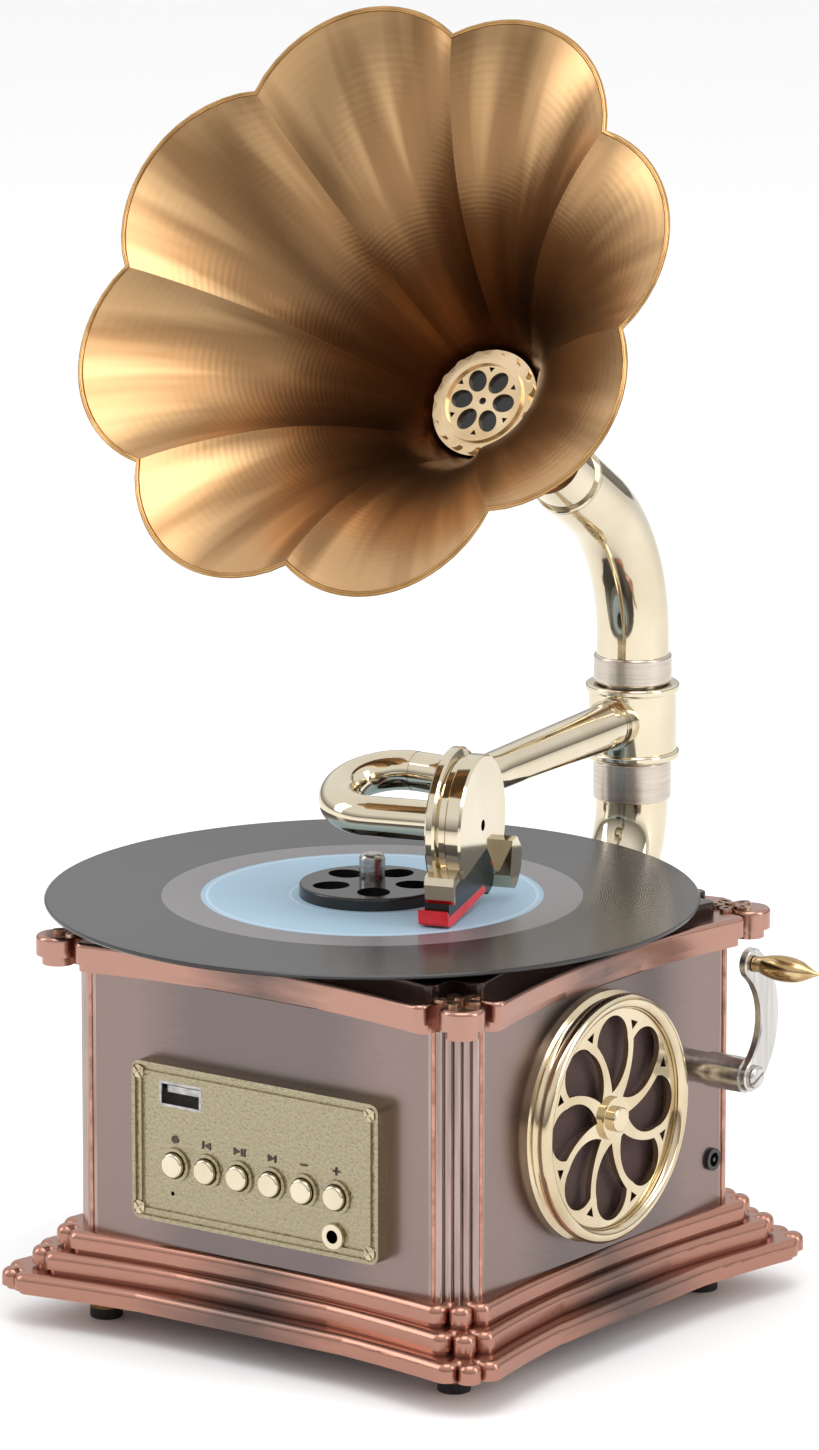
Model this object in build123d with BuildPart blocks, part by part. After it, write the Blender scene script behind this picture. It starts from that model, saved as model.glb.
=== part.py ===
from build123d import *
from math import atan2, cos, pi, radians, sin, tan
import os

# Tabletop record player with a petal horn, in millimetres.
# The origin is on the table, below the middle of the cabinet. +Z is up.
# The control panel faces -Y, the speaker and the crank face +X.
os.makedirs("parts", exist_ok=True)

# Cabinet
wall_half = 64.8
wall_thickness = 2.4
wall_base = 26.2
wall_top = 98.2
column_cut = 8.7
column_depth = 1.2
reed_radius = 1.15
reed_pitch = 2.4
reed_count = 5

# Plinth: three tiers from the floor up, each with its reach at the corners
tier_height = 5.63
tier_reaches = (80.8, 75.0, 70.3)
tier_bows = (7.3, 6.6, 4.3)
tier_nose = 2.2
tier_foot = 0.9
lobe_radius = 3.0
lobe_step = 8.6
lobe_inset = 2.7
plinth_bottom = wall_base - 3 * tier_height
plinth_opening = 58.0
foot_place = 57.4
foot_radius = 7.2
foot_neck = 4.9
pad_radius = 4.4
pad_height = 3.0

# Crown and deck
band_top = 100.8
crown_top = 106.3
crown_reach = 72.1
crown_bow = 6.6
crown_end = 57.2
crown_nose = 1.2
knob_place = 66.0
knob_radius = 5.9
deck_top = 109.8
deck_reach = 64.0
deck_bow = 6.0
deck_end = 55.0
deck_corner_radius = 2.6
rosette_place = 62.4
rosette_radius = 6.6
rosette_height = 0.9

# Turntable
record_x, record_y = -7.3, -5.0
record_top = 113.3
record_radius = 87.5
record_thickness = 1.2
record_hole = 19.0
label_radius = 45.8
label_depth = 0.3
mat_thickness = 0.6
platter_top = record_top - record_thickness - mat_thickness
adapter_height = 3.4
platter_radius = 46.0
platter_bottom = 108.6
well_radius = 47.4
well_floor = 108.1
drum_radius = 34.0
drum_bottom = 100.0
shaft_radius = 3.0
spindle_radius = 3.5
spindle_top = 124.7
running_gap = 0.05
chassis_top = 94.0
chassis_thickness = 2.0
chassis_back = 53.0
motor_angle = 40.0
belt_centres = 50.0
motor_radius = 12.0
motor_length = 22.0
motor_boss = 3.4
pulley_shaft = 1.0
pulley_radius = 4.0
belt_thickness = 0.8
belt_width = 3.0
belt_gap = 0.2

# Control panel
panel_left, panel_right = -38.7, 41.9
panel_low, panel_high = 33.8, 77.0
panel_thickness = 5.0
panel_skin = 2.6
panel_corner = 2.5
rim_width = 3.4
rim_height = 0.7
button_first = -24.8
button_pitch = 10.56
button_height = 50.05
button_radius = 3.4
button_gap = 0.3
button_stand = 1.5
button_travel = 1.0
button_count = 6
button_names = ("button_mode", "button_previous", "button_play", "button_next",
                "button_quieter", "button_louder")
microphone_x, microphone_z = -25.7, 42.0
panel_screw_places = ((-36.4, 74.0), (39.1, 74.0), (-36.4, 36.8), (39.1, 36.8))
usb_wall = 0.7
usb_depth = 11.0
jack_bore = 1.8
board_thickness = 1.6
switch_height = 2.0
window_left, window_right = -32.0, 35.0
window_low, window_high = 43.4, 73.4
usb_left, usb_right = -30.0, -16.2
usb_low, usb_high = 65.6, 72.4
jack_x, jack_z = 27.4, 39.4
jack_radius = 3.0

# Speaker
speaker_y, speaker_z = -3.5, 63.5
bezel_radius = 33.6
bezel_stand = 7.4
rim_inner = 29.5
rim_centre = 31.4
rim_tube = 2.0
grille_level = 3.4
grille_thickness = 1.6
boss_steps = ((5.8, 5.0, 6.3), (3.4, 6.3, 8.2))
petal_count = 8
petal_root = 6.8
petal_middle = 17.0
petal_waist = 11.2
petal_sweep = 6.0
petal_centre = 20.8
petal_round = 7.0
spandrel_place = 25.6
magnet_radius = 14.0
speaker_opening = 27.0
inlet_y, inlet_z = 50.8, 39.2
inlet_radius = 2.7

# Crank
crank_y, crank_z = 39.8, 67.8
crank_arm_x = 83.4
crank_arm_thickness = 2.2
crank_throw = 31.0
bearing_radius = 3.4
bearing_collar = 4.3
sleeve_start = 71.8
sleeve_radius = 4.75
crank_shaft_radius = 2.0
crank_bulge = 7.8
crank_arm_width = 8.3
handle_pin = 1.4
handle_length = 20.3
handle_neck = 2.2
handle_radius = 3.5

# Pipe behind the cabinet, which carries the tonearm and the horn
pipe_y = 106.5
pipe_radius = 10.0
core_radius = 9.2
lower_bend = 35.0
pipe_entry_z = 84.0
lower_band_bottom = 119.8
collar_bottom = 131.1
collar_top = 152.6
upper_band_top = 160.4
core_top = 157.5
body_gap = 0.3
pipe_flange = 14.0
post_root = 8.0
band_radius = 10.75
collar_rim = 13.0
collar_waist = 12.2
collar_rim_height = 2.2

# Tonearm: the tube's corner, the seam where the gooseneck turns, and its U-bend
arm_z = 142.6
arm_corner = (12.6, 13.0, 144.0)
arm_seam = (-4.8, 12.5, 144.0)
arm_root_radius = 6.6
arm_tip_radius = 5.35
arm_corner_bend = 10.0
arm_flange = 7.2
pin_radius = 3.0
pin_length = 8.0
gooseneck_radius = 5.4
gooseneck_bend = 13.5
gooseneck_drop = 6.7
head_yaw = 16.5
return_length = 31.2
head_depth = 9.5
head_profile = ((0, 18.3), (-0.6, 18.9), (-4.0, 18.9), (-4.6, 18.1), (-6.2, 18.1),
                (-6.8, 19.8), (-7.4, 20.4), (-9.0, 20.4), (-9.5, 19.9))
wing_outline = ((4.0, -10.0), (17.0, -8.5), (20.8, -10.0), (21.4, -12.0), (20.6, -16.0),
                (17.6, -19.6), (12.4, -21.8), (11.0, -20.0))
wing_back = -9.0
wing_thickness = 8.1
proud_outline = ((13.6, -7.0), (17.4, -6.6), (20.8, -10.0), (21.4, -12.0), (20.6, -16.0),
                 (17.6, -19.6), (12.4, -21.8), (11.0, -20.0))
wing_proud = 3.6
cartridge_outline = ((-19.4, -20.8), (-19.6, -12.4), (3.2, -6.8), (15.6, -20.4),
                     (12.0, -21.8), (8.6, -18.4))
pocket_outline = ((-19.6, -26.0), (-19.6, -12.4), (3.2, -6.8), (15.6, -20.4), (15.6, -26.0))
cartridge_setback = 2.7
guard_width = 8.3
stylus_place = -17.0

# Upper elbow and horn
elbow_bend = 49.6
elbow_start = 164.8
elbow_turn = 57.9
elbow_straight = 15.4
horn_yaw = 5.6
elbow_bore = 9.0
ferrule_bore = 7.6
ferrule_end = 12.0
horn_wall = 1.6
cusp_angle = 133.8
throat_distance = 55.2
throat_radius = 15.2
throat_scallop = 13.4
throat_bore = 10.5
lobe_count = 8
# Distance along the axis from the elbow's mouth, radius at the cusps, radius at the lobes
horn_sections = (
    (2.0, 7.6, 7.6),
    (12.0, 7.6, 7.6),
    (24.0, 9.0, 9.0),
    (38.0, 12.0, 12.0),
    (56.0, 18.4, 18.6),
    (82.0, 31.6, 33.4),
    (104.0, 48.0, 52.4),
    (118.0, 64.4, 71.6),
    (124.6, 75.3, 85.0),
)


def degrees_of(direction):
    """Heading of a direction seen from above, in degrees from +X."""
    return atan2(direction.Y, direction.X) * 180 / pi % 360


def rectangle_between(left, right, low, high):
    """A rectangle given by its sides, in the sketch that is open."""
    with Locations(((left + right) / 2, (low + high) / 2)):
        Rectangle(right - left, high - low)


def bowed_bar(half_length, half_width, bow, corner_radius):
    """Plan of one pair of sides: the long edges bow inwards and the ends are rounded."""
    with BuildSketch() as bar:
        with BuildLine():
            front = ThreePointArc((-half_length, -half_width), (0, bow - half_width),
                                  (half_length, -half_width))
            back = ThreePointArc((half_length, half_width), (0, half_width - bow),
                                 (-half_length, half_width))
            Line(front @ 1, back @ 0)
            Line(back @ 1, front @ 0)
        make_face()
        fillet(bar.vertices(), corner_radius)
    return bar.sketch


def tier_plan(reach, bow):
    """Plan of one plinth tier: bowed sides between corners of three rounded lobes."""
    bar = bowed_bar(reach - lobe_step, reach, bow, lobe_radius)
    corner = reach - lobe_radius - lobe_inset
    with BuildSketch() as plan:
        add(bar)
        add(bar.rotate(Axis.Z, 90))
        Rectangle(2 * corner, 2 * corner)
        with GridLocations(2 * corner, 2 * corner, 2, 2):
            Circle(lobe_radius)
    return plan.sketch


def crown_plan(shrink):
    """Plan of the crown: bowed sides that end in small lobes, with a knob on each corner."""
    bar = bowed_bar(crown_end, crown_reach - shrink, crown_bow, lobe_radius - 0.5)
    with BuildSketch() as plan:
        add(bar)
        add(bar.rotate(Axis.Z, 90))
        Rectangle(2 * knob_place - 3, 2 * knob_place - 3)
        with GridLocations(2 * knob_place, 2 * knob_place, 2, 2):
            Circle(knob_radius - shrink)
    return plan.sketch


def deck_plan():
    """Plan of the raised deck: bowed sides and notched corners."""
    bar = bowed_bar(deck_end, deck_reach, deck_bow, deck_corner_radius)
    with BuildSketch() as plan:
        add(bar)
        add(bar.rotate(Axis.Z, 90))
        Rectangle(2 * deck_end + 2, 2 * deck_end + 2)
    return plan.sketch


front_plane = Plane(origin=(0, -wall_half, 0), x_dir=(1, 0, 0), z_dir=(0, -1, 0))
side_plane = Plane(origin=(wall_half, 0, 0), x_dir=(0, 1, 0), z_dir=(1, 0, 0))
back_plane = Plane(origin=(0, wall_half, 0), x_dir=(-1, 0, 0), z_dir=(0, 1, 0))

# Plinth: three tiers, each with a rounded nose, open in the middle
with BuildPart() as plinth:
    for step, (reach, bow) in enumerate(zip(tier_reaches, tier_bows)):
        level = plinth_bottom + step * tier_height
        with BuildPart(mode=Mode.PRIVATE) as tier:
            with BuildSketch(Plane.XY.offset(level + tier_foot)):
                add(tier_plan(reach, bow))
            extrude(amount=tier_height - tier_foot)
            fillet(tier.edges().group_by(Axis.Z)[-1], tier_nose)
            with BuildSketch(Plane.XY.offset(level)):
                add(tier_plan(reach - tier_foot, bow))
            extrude(amount=tier_foot)
        add(tier.part)
    with BuildSketch(Plane.XY.offset(plinth_bottom)):
        Rectangle(2 * plinth_opening, 2 * plinth_opening)
    extrude(amount=3 * tier_height, mode=Mode.SUBTRACT)
plinth.part.label = "plinth"
export_step(plinth.part, "parts/plinth.step")

# Feet: a turned cup with a flange, and a rubber pad below it
with BuildPart() as foot_cups:
    with BuildSketch(Plane.XZ):
        with BuildLine():
            Polyline((0, pad_height), (pad_radius, pad_height), (foot_neck, plinth_bottom - 2.4),
                     (foot_radius - 0.8, plinth_bottom - 1.6), (foot_radius, plinth_bottom - 0.8),
                     (foot_radius, plinth_bottom), (0, plinth_bottom), close=True)
        make_face()
    revolve(axis=Axis.Z)
    foot = foot_cups.part
foot_cups.part = Part() + [Pos(x, y) * foot for x in (-foot_place, foot_place)
                           for y in (-foot_place, foot_place)]
foot_cups.part.label = "foot_cups"
export_step(foot_cups.part, "parts/foot_cups.step")

with BuildPart() as foot_pads:
    with BuildSketch():
        with GridLocations(2 * foot_place, 2 * foot_place, 2, 2):
            Circle(pad_radius)
    extrude(amount=pad_height)
    fillet(foot_pads.edges().group_by(Axis.Z)[0], 0.6)
foot_pads.part.label = "foot_pads"
export_step(foot_pads.part, "parts/foot_pads.step")

# Bottom plate closes the plinth
with BuildPart() as bottom_plate:
    with BuildSketch(Plane.XY.offset(plinth_bottom)):
        Rectangle(2 * plinth_opening, 2 * plinth_opening)
        with GridLocations(12, 6, 5, 4):
            SlotOverall(8, 2.4, mode=Mode.SUBTRACT)
    extrude(amount=2)
bottom_plate.part.label = "bottom_plate"
export_step(bottom_plate.part, "parts/bottom_plate.step")

# Cabinet shell: four walls, cut away at the corners, behind the panel and behind the speaker
shell_cut = column_cut + column_depth * 2 ** 0.5
with BuildPart() as cabinet_shell:
    with BuildSketch(Plane.XY.offset(wall_base)) as shell_plan:
        Rectangle(2 * wall_half, 2 * wall_half)
        chamfer(shell_plan.vertices(), shell_cut)
        offset(amount=-wall_thickness, mode=Mode.SUBTRACT)
    extrude(amount=wall_top - wall_base)
    with BuildSketch(front_plane):
        rectangle_between(window_left, window_right, window_low, window_high)
        with Locations((jack_x, jack_z)):
            Circle(jack_radius)
    extrude(amount=-2 * wall_thickness, mode=Mode.SUBTRACT)
    with BuildSketch(side_plane):
        with Locations((speaker_y, speaker_z)):
            Circle(speaker_opening)
        with Locations((crank_y, crank_z)):
            Circle(bearing_radius)
        with Locations((inlet_y, inlet_z)):
            Circle(inlet_radius)
    extrude(amount=-2 * wall_thickness, mode=Mode.SUBTRACT)
    with BuildSketch(back_plane):
        with Locations((0, pipe_entry_z)):
            Circle(pipe_radius)
    extrude(amount=-2 * wall_thickness, mode=Mode.SUBTRACT)
cabinet_shell.part.label = "cabinet_shell"
export_step(cabinet_shell.part, "parts/cabinet_shell.step")

# Corner columns: five reeds on a backing strip, set into each cut corner
column_face = (2 * wall_half - column_cut) / 2 ** 0.5
column_half = column_cut / 2 ** 0.5
with BuildPart() as corner_columns:
    with BuildSketch(Plane.XY.offset(wall_base)):
        with PolarLocations(column_face, 4, start_angle=45):
            Polygon((-column_depth, -column_half - column_depth), (0, -column_half),
                    (0, column_half), (-column_depth, column_half + column_depth),
                    align=None)
            with GridLocations(0, reed_pitch, 1, reed_count):
                Circle(reed_radius)
    extrude(amount=wall_top - wall_base)
corner_columns.part.label = "corner_columns"
export_step(corner_columns.part, "parts/corner_columns.step")

# Crown moulding: a narrow bead band below a broad lobed plate with a rounded nose
with BuildPart() as crown_moulding:
    with BuildSketch(Plane.XY.offset(band_top)):
        add(crown_plan(0))
    extrude(amount=crown_top - band_top)
    fillet(crown_moulding.edges().group_by(Axis.Z)[-1], crown_nose)
    with BuildSketch(Plane.XY.offset(wall_top)):
        add(crown_plan(1.6))
    extrude(amount=band_top - wall_top)
    with BuildSketch(Plane.XY.offset(wall_top)):
        Rectangle(2 * plinth_opening, 2 * plinth_opening)
    extrude(amount=crown_top - wall_top, mode=Mode.SUBTRACT)
crown_moulding.part.label = "crown_moulding"
export_step(crown_moulding.part, "parts/crown_moulding.step")

# Corner rosettes: five petals round a raised eye on each corner of the crown
with BuildPart() as corner_rosettes:
    with BuildSketch(Plane.XY.offset(crown_top)):
        with GridLocations(2 * rosette_place, 2 * rosette_place, 2, 2):
            with PolarLocations(rosette_radius - 2.6, 5):
                Ellipse(2.5, 1.7)
            with PolarLocations(rosette_radius - 2.6, 5):
                Circle(0.8, mode=Mode.SUBTRACT)
            Circle(2.2)
    extrude(amount=rosette_height)
    with BuildSketch(Plane.XY.offset(crown_top + rosette_height)):
        with GridLocations(2 * rosette_place, 2 * rosette_place, 2, 2):
            Circle(1.4)
    extrude(amount=rosette_height / 2)
corner_rosettes.part.label = "corner_rosettes"
export_step(corner_rosettes.part, "parts/corner_rosettes.step")

# Top deck: a raised plate with a shallow well for the platter
with BuildPart() as top_deck:
    with BuildSketch(Plane.XY.offset(crown_top)):
        add(deck_plan())
    extrude(amount=deck_top - crown_top)
    fillet(top_deck.edges().group_by(Axis.Z)[-1], 0.6)
    with BuildSketch(Plane.XY.offset(well_floor)):
        with Locations((record_x, record_y)):
            Circle(well_radius)
    extrude(amount=deck_top - well_floor, mode=Mode.SUBTRACT)
    with BuildSketch(Plane.XY.offset(crown_top)):
        with Locations((record_x, record_y)):
            Circle(drum_radius + 2)
    extrude(amount=deck_top - crown_top, mode=Mode.SUBTRACT)
top_deck.part.label = "top_deck"
export_step(top_deck.part, "parts/top_deck.step")

# Chassis plate carries the bearing and the motor
motor_x = record_x + belt_centres * cos(radians(motor_angle))
motor_y = record_y + belt_centres * sin(radians(motor_angle))
chassis_half = wall_half - wall_thickness
with BuildPart() as chassis_plate:
    with BuildSketch(Plane.XY.offset(chassis_top - chassis_thickness)):
        rectangle_between(-chassis_half, chassis_half, -chassis_half + shell_cut,
                          chassis_back)
        rectangle_between(-chassis_half + shell_cut, chassis_half - shell_cut,
                          -chassis_half, chassis_back)
        with Locations((record_x, record_y)):
            Circle(shaft_radius + 1, mode=Mode.SUBTRACT)
        with Locations((motor_x, motor_y)):
            Circle(motor_boss, mode=Mode.SUBTRACT)
    extrude(amount=chassis_thickness)
chassis_plate.part.label = "chassis_plate"
export_step(chassis_plate.part, "parts/chassis_plate.step")

with BuildPart() as platter_bearing:
    with BuildSketch(Plane.XY.offset(chassis_top)):
        with Locations((record_x, record_y)):
            Circle(11)
    extrude(amount=1.6)
    with BuildSketch(Plane.XY.offset(chassis_top)):
        with Locations((record_x, record_y)):
            Circle(6)
    extrude(amount=drum_bottom - 0.6 - chassis_top)
    with BuildSketch(Plane.XY.offset(chassis_top)):
        with Locations((record_x, record_y)):
            Circle(shaft_radius + running_gap)
    extrude(amount=drum_bottom - chassis_top, mode=Mode.SUBTRACT)
platter_bearing.part.label = "platter_bearing"
export_step(platter_bearing.part, "parts/platter_bearing.step")

# Platter: a disc on a drum that the belt drives
with BuildPart() as platter:
    with BuildSketch(Plane.XY.offset(drum_bottom)):
        with Locations((record_x, record_y)):
            Circle(drum_radius)
            Circle(drum_radius - 2.5, mode=Mode.SUBTRACT)
            Circle(6.5)
    extrude(amount=platter_bottom - drum_bottom)
    with BuildSketch(Plane.XY.offset(platter_bottom)):
        with Locations((record_x, record_y)):
            Circle(platter_radius)
    extrude(amount=platter_top - platter_bottom)
    with BuildSketch(Plane.XY.offset(drum_bottom)):
        with Locations((record_x, record_y)):
            Circle(shaft_radius)
    extrude(amount=record_top - drum_bottom, mode=Mode.SUBTRACT)
platter.part.label = "platter"
export_step(platter.part, "parts/platter.step")

with BuildPart() as platter_mat:
    with BuildSketch(Plane.XY.offset(platter_top)):
        with Locations((record_x, record_y)):
            Circle(platter_radius - 0.5)
            Circle(spindle_radius, mode=Mode.SUBTRACT)
    extrude(amount=mat_thickness)
platter_mat.part.label = "platter_mat"
export_step(platter_mat.part, "parts/platter_mat.step")

# Spindle: the shaft in the bearing and the rounded tip above the record
with BuildPart() as spindle:
    with BuildSketch(Plane.XY.offset(chassis_top - 6)):
        with Locations((record_x, record_y)):
            Circle(shaft_radius)
    extrude(amount=platter_top - chassis_top + 6)
    with BuildSketch(Plane.XY.offset(platter_top)):
        with Locations((record_x, record_y)):
            Circle(spindle_radius)
    extrude(amount=spindle_top - platter_top)
    fillet(spindle.edges().group_by(Axis.Z)[-1], 1.6)
spindle.part.label = "spindle"
export_step(spindle.part, "parts/spindle.step")

# Record: a raised outer bead and a thin label on each side of a wide centre hole
with BuildPart() as record:
    with BuildSketch(Plane.XY.offset(record_top - record_thickness)):
        with Locations((record_x, record_y)):
            Circle(record_radius)
            Circle(record_hole, mode=Mode.SUBTRACT)
    extrude(amount=record_thickness)
    chamfer(record.edges().filter_by(GeomType.CIRCLE).sort_by(SortBy.RADIUS)[-2:], 0.35)
    with BuildSketch(Plane.XY.offset(record_top - label_depth)):
        with Locations((record_x, record_y)):
            Circle(label_radius)
    extrude(amount=label_depth, mode=Mode.SUBTRACT)
record.part.label = "record"
export_step(record.part, "parts/record.step")

with BuildPart() as record_label:
    with BuildSketch(Plane.XY.offset(record_top - label_depth)):
        with Locations((record_x, record_y)):
            Circle(label_radius)
            Circle(record_hole, mode=Mode.SUBTRACT)
    extrude(amount=label_depth)
record_label.part.label = "record_label"
export_step(record_label.part, "parts/record_label.step")

# Centre adapter: a rim, a hub and spokes between round openings
with BuildPart() as adapter:
    with BuildSketch(Plane.XY.offset(record_top - record_thickness)):
        with Locations((record_x, record_y)):
            Circle(record_hole)
            Circle(spindle_radius, mode=Mode.SUBTRACT)
    extrude(amount=record_thickness)
    with BuildSketch(Plane.XY.offset(record_top)):
        with Locations((record_x, record_y)):
            Circle(record_hole + 0.5)
            Circle(spindle_radius, mode=Mode.SUBTRACT)
    extrude(amount=adapter_height)
    fillet(adapter.edges().group_by(Axis.Z)[-1].sort_by(SortBy.RADIUS)[-1], 0.7)
    with BuildSketch(Plane.XY.offset(record_top)):
        with Locations((record_x, record_y)):
            with PolarLocations(11.6, 5, start_angle=20):
                Ellipse(5.0, 4.4)
    extrude(amount=adapter_height, mode=Mode.SUBTRACT)
adapter.part.label = "adapter"
export_step(adapter.part, "parts/adapter.step")

# Motor below the chassis, its pulley above it and the belt to the platter drum
with BuildPart() as motor:
    with BuildSketch(Plane.XY.offset(chassis_top - chassis_thickness - motor_length)):
        with Locations((motor_x, motor_y)):
            Circle(motor_radius)
    extrude(amount=motor_length)
    fillet(motor.edges().group_by(Axis.Z)[0], 1.2)
    with BuildSketch(Plane.XY.offset(chassis_top - chassis_thickness)):
        with Locations((motor_x, motor_y)):
            Circle(motor_boss)
    extrude(amount=chassis_thickness + 0.6)
    with BuildSketch(Plane.XY.offset(chassis_top - chassis_thickness - 6)):
        with Locations((motor_x, motor_y)):
            Circle(pulley_shaft + running_gap)
    extrude(amount=12, mode=Mode.SUBTRACT)
motor.part.label = "motor"
export_step(motor.part, "parts/motor.step")

belt_level = drum_bottom + 1.6
with BuildPart() as motor_pulley:
    with BuildSketch(Plane.XY.offset(chassis_top - chassis_thickness - 5.7)):
        with Locations((motor_x, motor_y)):
            Circle(pulley_shaft)
    extrude(amount=belt_level + belt_width - chassis_top + chassis_thickness + 5.7)
    with BuildSketch(Plane.XY.offset(belt_level)):
        with Locations((motor_x, motor_y)):
            Circle(pulley_radius)
    extrude(amount=belt_width)
    with BuildSketch(Plane.XY.offset(belt_level - 1)):
        with Locations((motor_x, motor_y)):
            Circle(pulley_radius + 1)
    extrude(amount=0.6)
motor_pulley.part.label = "motor_pulley"
export_step(motor_pulley.part, "parts/motor_pulley.step")


def belt_outline(spread):
    """Outline of the belt, this far outside the drum and the pulley."""
    with BuildSketch() as outline:
        with Locations((record_x, record_y)):
            Circle(drum_radius + spread)
        with Locations((motor_x, motor_y)):
            Circle(pulley_radius + spread)
        make_hull(outline.edges())
    return outline.sketch


with BuildPart() as drive_belt:
    with BuildSketch(Plane.XY.offset(belt_level)):
        add(belt_outline(belt_gap + belt_thickness))
        add(belt_outline(belt_gap), mode=Mode.SUBTRACT)
    extrude(amount=belt_width)
drive_belt.part.label = "drive_belt"
export_step(drive_belt.part, "parts/drive_belt.step")

# Control panel: a hollow plate with a double rim, set on the front wall
panel_body = panel_thickness - rim_height
with BuildPart() as control_panel:
    with BuildSketch(front_plane) as panel_plan:
        rectangle_between(panel_left, panel_right, panel_low, panel_high)
        fillet(panel_plan.vertices(), panel_corner)
    extrude(amount=panel_body)
    for inset, width in ((0, 1.1), (rim_width - 1, 0.8)):
        with BuildSketch(front_plane.offset(panel_body)):
            with BuildSketch(mode=Mode.PRIVATE) as outer:
                add(panel_plan.sketch_local)
                offset(amount=-inset)
            add(outer.sketch)
            offset(outer.sketch, amount=-width, mode=Mode.SUBTRACT)
        extrude(amount=rim_height)
    with BuildSketch(front_plane.offset(panel_body)):
        for index in range(button_count):
            with Locations((button_first + index * button_pitch, button_height)):
                Circle(button_radius + button_gap + 0.9)
        with Locations((jack_x, jack_z)):
            Circle(jack_radius + 0.5)
    extrude(amount=rim_height)
    with BuildSketch(front_plane):
        rectangle_between(window_left, window_right, window_low, window_high)
    extrude(amount=panel_body - panel_skin, mode=Mode.SUBTRACT)
    with BuildSketch(front_plane):
        for index in range(button_count):
            with Locations((button_first + index * button_pitch, button_height)):
                Circle(button_radius + button_gap)
        rectangle_between(usb_left, usb_right, usb_low, usb_high)
        with Locations((jack_x, jack_z)):
            Circle(jack_radius)
        with Locations((microphone_x, microphone_z)):
            Circle(0.6)
        with Locations(*panel_screw_places):
            Circle(1.0)
    extrude(amount=panel_thickness + 1, mode=Mode.SUBTRACT)
    with BuildSketch(front_plane.offset(panel_body)):
        with Locations(*panel_screw_places):
            Circle(2.1)
    extrude(amount=rim_height, mode=Mode.SUBTRACT)
control_panel.part.label = "control_panel"
export_step(control_panel.part, "parts/control_panel.step")

with BuildPart() as panel_screws:
    with BuildSketch(front_plane):
        with Locations(*panel_screw_places):
            Circle(1.0)
    extrude(amount=panel_body)
    with BuildSketch(front_plane.offset(panel_body)):
        with Locations(*panel_screw_places):
            Circle(1.8)
    extrude(amount=0.9)
    with BuildSketch(front_plane.offset(panel_body + 0.5)):
        with Locations(*panel_screw_places):
            Rectangle(3.6, 0.5, rotation=40)
            Rectangle(0.5, 3.6, rotation=40)
    extrude(amount=0.5, mode=Mode.SUBTRACT)
panel_screws.part.label = "panel_screws"
export_step(panel_screws.part, "parts/panel_screws.step")

# USB socket: a shell around a contact tongue, in front of the circuit board
with BuildPart() as usb_socket:
    with BuildSketch(front_plane.offset(panel_body)):
        rectangle_between(usb_left, usb_right, usb_low, usb_high)
        rectangle_between(usb_left + usb_wall, usb_right - usb_wall, usb_low + usb_wall,
                          usb_high - usb_wall)
    extrude(amount=-usb_depth)
    with BuildSketch(front_plane.offset(panel_body)):
        rectangle_between(usb_left + usb_wall, usb_right - usb_wall, usb_low + usb_wall,
                          usb_high - usb_wall)
    extrude(amount=1 - usb_depth, mode=Mode.SUBTRACT)
    with BuildSketch(front_plane.offset(panel_body - 1.5)):
        rectangle_between(usb_left + 1.6, usb_right - 1.6, usb_high - 3.2, usb_high - 1.4)
    extrude(amount=2 - usb_depth)
usb_socket.part.label = "usb_socket"
export_step(usb_socket.part, "parts/usb_socket.step")

with BuildPart() as audio_jack:
    with BuildSketch(front_plane.offset(panel_thickness)):
        with Locations((jack_x, jack_z)):
            Circle(jack_radius)
            Circle(jack_bore, mode=Mode.SUBTRACT)
    extrude(amount=-usb_depth - rim_height + 1)
    with BuildSketch(front_plane.offset(panel_thickness)):
        with Locations((jack_x, jack_z)):
            Circle(jack_radius + 0.3)
            Circle(jack_bore, mode=Mode.SUBTRACT)
    extrude(amount=0.5)
    with BuildSketch(front_plane.offset(panel_body - usb_depth)):
        with Locations((jack_x, jack_z)):
            Circle(jack_radius)
    extrude(amount=1)
audio_jack.part.label = "audio_jack"
export_step(audio_jack.part, "parts/audio_jack.step")

# Circuit board behind the panel, with a switch for each button and two standoffs
with BuildPart() as circuit_board:
    with BuildSketch(front_plane.offset(panel_body - usb_depth)):
        rectangle_between(panel_left + 1, panel_right - 1, panel_low + 1, panel_high - 1)
    extrude(amount=-board_thickness)
    with BuildSketch(front_plane.offset(panel_body - usb_depth)):
        for index in range(button_count):
            with Locations((button_first + index * button_pitch, button_height)):
                Rectangle(5.2, 5.2)
    extrude(amount=switch_height)
    with BuildSketch(front_plane.offset(panel_body - usb_depth + switch_height)):
        for index in range(button_count):
            with Locations((button_first + index * button_pitch, button_height)):
                Circle(1.2)
    extrude(amount=0.4)
    with BuildSketch(front_plane.offset(panel_body - usb_depth)):
        with GridLocations(panel_right - panel_left - 6, 0, 2, 1):
            with Locations(((panel_left + panel_right) / 2, button_height)):
                Circle(1.6)
    extrude(amount=usb_depth - panel_body - wall_thickness)
circuit_board.part.label = "circuit_board"
export_step(circuit_board.part, "parts/circuit_board.step")

# Six buttons, each with a flange behind the panel's skin and a stem toward its switch
skin_back = panel_body - panel_skin
stem_end = panel_body - usb_depth + switch_height + 0.4 + button_travel + body_gap
for index, name in enumerate(button_names):
    place = (button_first + index * button_pitch, button_height)
    with BuildPart() as button:
        with BuildSketch(front_plane.offset(skin_back - body_gap - 1.2)):
            with Locations(place):
                Circle(button_radius)
        extrude(amount=panel_thickness + button_stand - skin_back + body_gap + 1.2)
        fillet(button.edges().group_by(Axis.Y)[0], 0.8)
        with BuildSketch(front_plane.offset(skin_back - body_gap - 1.2)):
            with Locations(place):
                Circle(button_radius + 1)
        extrude(amount=1.2)
        with BuildSketch(front_plane.offset(stem_end)):
            with Locations(place):
                Circle(1.2)
        extrude(amount=skin_back - body_gap - 1.2 - stem_end)
    button.part.label = name
    export_step(button.part, f"parts/{name}.step")

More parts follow.
